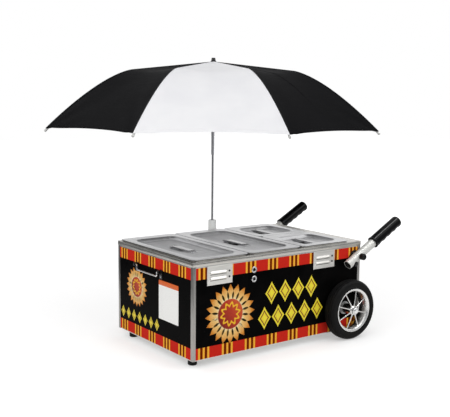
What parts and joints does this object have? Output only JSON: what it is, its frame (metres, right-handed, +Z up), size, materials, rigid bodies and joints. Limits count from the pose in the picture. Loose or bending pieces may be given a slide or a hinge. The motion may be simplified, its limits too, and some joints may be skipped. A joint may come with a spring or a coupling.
{
  "type": "hot dog steamer cart",
  "caption": "Table-top hot dog steamer cart with lidded food pans, side wheels, folding push handles, a carrying pull and an open ribbed umbrella on a pole.",
  "frame": {"origin": "the umbrella pole's axis on the floor, which is the middle of the bounding box's base", "axes": "+X along the cart to the handle end, +Y from the front to the back, +Z up"},
  "size_m": [1.1812, 1.1812, 0.9484],
  "materials": {
    "black_panel": "gloss black panel with printed stripes",
    "stainless": "satin brushed",
    "black_bracket": "black stove enamel",
    "chrome": "polished",
    "steel": "plain drawn steel",
    "silver_rim": "silver paint, semi-gloss",
    "tyre": "matte",
    "rubber": "matte",
    "tube": "clear anodised, satin",
    "black_grip": "glossy",
    "black_plastic": "fine matte",
    "lamp": "clear amber",
    "brass": "machined",
    "red_lever": "dipped coating",
    "grey_socket": "satin",
    "dark_pole": "dark semi-gloss",
    "crown_plastic": "satin",
    "rib_steel": "dark grey lacquer",
    "canopy": "woven coated cloth in black and white panels"
  },
  "bodies": {
    "cart": {"cabinet": "black_panel", "deck": "stainless", "corner_trims": "stainless", "vent_plates": "stainless", "feet": "rubber", "axle": "steel", "axle_caps": "chrome", "water_pan": "stainless", "heating_element": "steel", "food_pans": "stainless", "control_panel": "stainless", "thermostat": "black_plastic", "pilot_lamp": "lamp", "power_inlet": "black_plastic", "drain_valve": "brass", "handle_brackets": "black_bracket", "handle_bolts": "chrome", "bail_lugs": "black_bracket", "umbrella_socket": "grey_socket", "socket_bracket": "stainless", "screws": "chrome"},
    "wheel_front": {"rim_front": "silver_rim", "tyre_front": "tyre"},
    "wheel_back": {"rim_back": "silver_rim", "tyre_back": "tyre"},
    "lid_left": {"lid_left": "stainless"},
    "lid_middle": {"lid_middle": "stainless"},
    "lid_right_front": {"lid_right_front": "stainless"},
    "lid_right_back": {"lid_right_back": "stainless"},
    "handle_front": {"tube_front": "tube", "grip_front": "black_grip"},
    "handle_back": {"tube_back": "tube", "grip_back": "black_grip"},
    "clamp_front": {"knob_front": "black_grip"},
    "clamp_back": {"knob_back": "black_grip"},
    "bail": {"bail": "chrome"},
    "dial": {"thermostat_knob": "black_plastic"},
    "rocker": {"power_switch": "black_plastic"},
    "drain_lever": {"drain_lever": "red_lever"},
    "umbrella": {"pole": "dark_pole", "crown": "crown_plastic", "finial": "black_grip", "canopy": "canopy"},
    "runner": {"runner": "crown_plastic"},
    "rib_1": {"rib_1": "rib_steel"},
    "stretcher_1": {"stretcher_1": "rib_steel"},
    "rib_2": {"rib_2": "rib_steel"},
    "stretcher_2": {"stretcher_2": "rib_steel"},
    "rib_3": {"rib_3": "rib_steel"},
    "stretcher_3": {"stretcher_3": "rib_steel"},
    "rib_4": {"rib_4": "rib_steel"},
    "stretcher_4": {"stretcher_4": "rib_steel"},
    "rib_5": {"rib_5": "rib_steel"},
    "stretcher_5": {"stretcher_5": "rib_steel"},
    "rib_6": {"rib_6": "rib_steel"},
    "stretcher_6": {"stretcher_6": "rib_steel"},
    "rib_7": {"rib_7": "rib_steel"},
    "stretcher_7": {"stretcher_7": "rib_steel"},
    "rib_8": {"rib_8": "rib_steel"},
    "stretcher_8": {"stretcher_8": "rib_steel"}
  },
  "joints": [
    {"name": "wheel_front_spin", "type": "hinge", "parent": "cart", "child": "wheel_front", "pos_m": [0.221, -0.496, 0.1016], "axis": [0, 1, 0], "continuous": true},
    {"name": "wheel_back_spin", "type": "hinge", "parent": "cart", "child": "wheel_back", "pos_m": [0.221, 0.006, 0.1016], "axis": [0, 1, 0], "continuous": true},
    {"name": "lid_left_lift", "type": "slide", "parent": "cart", "child": "lid_left", "axis": [0, 0, 1], "range_m": [0, 0.06]},
    {"name": "lid_middle_lift", "type": "slide", "parent": "cart", "child": "lid_middle", "axis": [0, 0, 1], "range_m": [0, 0.06]},
    {"name": "lid_right_front_lift", "type": "slide", "parent": "cart", "child": "lid_right_front", "axis": [0, 0, 1], "range_m": [0, 0.06]},
    {"name": "lid_right_back_lift", "type": "slide", "parent": "cart", "child": "lid_right_back", "axis": [0, 0, 1], "range_m": [0, 0.06]},
    {"name": "handle_front_fold", "type": "hinge", "parent": "cart", "child": "handle_front", "pos_m": [0.2605, -0.49, 0.28], "axis": [0, 1, 0], "range_deg": [0, 85]},
    {"name": "handle_back_fold", "type": "hinge", "parent": "cart", "child": "handle_back", "pos_m": [0.2605, 0, 0.28], "axis": [0, 1, 0], "range_deg": [0, 85]},
    {"name": "clamp_front_turn", "type": "hinge", "parent": "cart", "child": "clamp_front", "pos_m": [0.2605, -0.513, 0.28], "axis": [0, -1, 0], "range_deg": [0, 360]},
    {"name": "clamp_back_turn", "type": "hinge", "parent": "cart", "child": "clamp_back", "pos_m": [0.2605, 0.023, 0.28], "axis": [0, 1, 0], "range_deg": [0, 360]},
    {"name": "bail_swing", "type": "hinge", "parent": "cart", "child": "bail", "pos_m": [-0.409, -0.219, 0.268], "axis": [0, 1, 0], "range_deg": [0, 95]},
    {"name": "thermostat_turn", "type": "hinge", "parent": "cart", "child": "dial", "pos_m": [0.295, -0.193, 0.229], "axis": [1, 0, 0], "range_deg": [-270, 0]},
    {"name": "switch_rock", "type": "hinge", "parent": "cart", "child": "rocker", "pos_m": [0.289, -0.297, 0.229], "axis": [0, 1, 0], "range_deg": [0, 16]},
    {"name": "drain_turn", "type": "hinge", "parent": "cart", "child": "drain_lever", "pos_m": [-0.33, -0.004, 0.128], "axis": [0, 0, 1], "range_deg": [0, 90]},
    {"name": "umbrella_lift", "type": "slide", "parent": "cart", "child": "umbrella", "axis": [0, 0, 1], "range_m": [0, 0.11]},
    {"name": "runner_slide", "type": "slide", "parent": "umbrella", "child": "runner", "axis": [0, 0, -1], "range_m": [0, 0.2], "deforming": ["canopy"]},
    {"name": "rib_1_fold", "type": "hinge", "parent": "umbrella", "child": "rib_1", "pos_m": [0.01275, 0.0079, 0.92], "axis": [-0.527, 0.8499, 0], "range_deg": [-1, 34.19]},
    {"name": "stretcher_1_fold", "type": "hinge", "parent": "runner", "child": "stretcher_1", "pos_m": [0.0119, 0.00738, 0.7], "axis": [0.527, -0.8499, 0], "range_deg": [-1, 15.05]},
    {"name": "rib_2_fold", "type": "hinge", "parent": "umbrella", "child": "rib_2", "pos_m": [0.00343, 0.0146, 0.92], "axis": [-0.9736, 0.2284, 0], "range_deg": [-1, 34.19]},
    {"name": "stretcher_2_fold", "type": "hinge", "parent": "runner", "child": "stretcher_2", "pos_m": [0.0032, 0.01363, 0.7], "axis": [0.9736, -0.2284, 0], "range_deg": [-1, 15.05]},
    {"name": "rib_3_fold", "type": "hinge", "parent": "umbrella", "child": "rib_3", "pos_m": [-0.0079, 0.01275, 0.92], "axis": [-0.8499, -0.527, 0], "range_deg": [-1, 34.19]},
    {"name": "stretcher_3_fold", "type": "hinge", "parent": "runner", "child": "stretcher_3", "pos_m": [-0.00738, 0.0119, 0.7], "axis": [0.8499, 0.527, 0], "range_deg": [-1, 15.05]},
    {"name": "rib_4_fold", "type": "hinge", "parent": "umbrella", "child": "rib_4", "pos_m": [-0.0146, 0.00343, 0.92], "axis": [-0.2284, -0.9736, 0], "range_deg": [-1, 34.19]},
    {"name": "stretcher_4_fold", "type": "hinge", "parent": "runner", "child": "stretcher_4", "pos_m": [-0.01363, 0.0032, 0.7], "axis": [0.2284, 0.9736, 0], "range_deg": [-1, 15.05]},
    {"name": "rib_5_fold", "type": "hinge", "parent": "umbrella", "child": "rib_5", "pos_m": [-0.01275, -0.0079, 0.92], "axis": [0.527, -0.8499, 0], "range_deg": [-1, 34.19]},
    {"name": "stretcher_5_fold", "type": "hinge", "parent": "runner", "child": "stretcher_5", "pos_m": [-0.0119, -0.00738, 0.7], "axis": [-0.527, 0.8499, 0], "range_deg": [-1, 15.05]},
    {"name": "rib_6_fold", "type": "hinge", "parent": "umbrella", "child": "rib_6", "pos_m": [-0.00343, -0.0146, 0.92], "axis": [0.9736, -0.2284, 0], "range_deg": [-1, 34.19]},
    {"name": "stretcher_6_fold", "type": "hinge", "parent": "runner", "child": "stretcher_6", "pos_m": [-0.0032, -0.01363, 0.7], "axis": [-0.9736, 0.2284, 0], "range_deg": [-1, 15.05]},
    {"name": "rib_7_fold", "type": "hinge", "parent": "umbrella", "child": "rib_7", "pos_m": [0.0079, -0.01275, 0.92], "axis": [0.8499, 0.527, 0], "range_deg": [-1, 34.19]},
    {"name": "stretcher_7_fold", "type": "hinge", "parent": "runner", "child": "stretcher_7", "pos_m": [0.00738, -0.0119, 0.7], "axis": [-0.8499, -0.527, 0], "range_deg": [-1, 15.05]},
    {"name": "rib_8_fold", "type": "hinge", "parent": "umbrella", "child": "rib_8", "pos_m": [0.0146, -0.00343, 0.92], "axis": [0.2284, 0.9736, 0], "range_deg": [-1, 34.19]},
    {"name": "stretcher_8_fold", "type": "hinge", "parent": "runner", "child": "stretcher_8", "pos_m": [0.01363, -0.0032, 0.7], "axis": [-0.2284, -0.9736, 0], "range_deg": [-1, 15.05]}
  ],
  "couplings": [
    {"joint": "rib_1_fold", "follows": "runner_slide", "rad_per_m": 2.8961},
    {"joint": "stretcher_1_fold", "follows": "runner_slide", "rad_per_m": 1.2263},
    {"joint": "rib_2_fold", "follows": "runner_slide", "rad_per_m": 2.8961},
    {"joint": "stretcher_2_fold", "follows": "runner_slide", "rad_per_m": 1.2263},
    {"joint": "rib_3_fold", "follows": "runner_slide", "rad_per_m": 2.8961},
    {"joint": "stretcher_3_fold", "follows": "runner_slide", "rad_per_m": 1.2263},
    {"joint": "rib_4_fold", "follows": "runner_slide", "rad_per_m": 2.8961},
    {"joint": "stretcher_4_fold", "follows": "runner_slide", "rad_per_m": 1.2263},
    {"joint": "rib_5_fold", "follows": "runner_slide", "rad_per_m": 2.8961},
    {"joint": "stretcher_5_fold", "follows": "runner_slide", "rad_per_m": 1.2263},
    {"joint": "rib_6_fold", "follows": "runner_slide", "rad_per_m": 2.8961},
    {"joint": "stretcher_6_fold", "follows": "runner_slide", "rad_per_m": 1.2263},
    {"joint": "rib_7_fold", "follows": "runner_slide", "rad_per_m": 2.8961},
    {"joint": "stretcher_7_fold", "follows": "runner_slide", "rad_per_m": 1.2263},
    {"joint": "rib_8_fold", "follows": "runner_slide", "rad_per_m": 2.8961},
    {"joint": "stretcher_8_fold", "follows": "runner_slide", "rad_per_m": 1.2263}
  ]
}
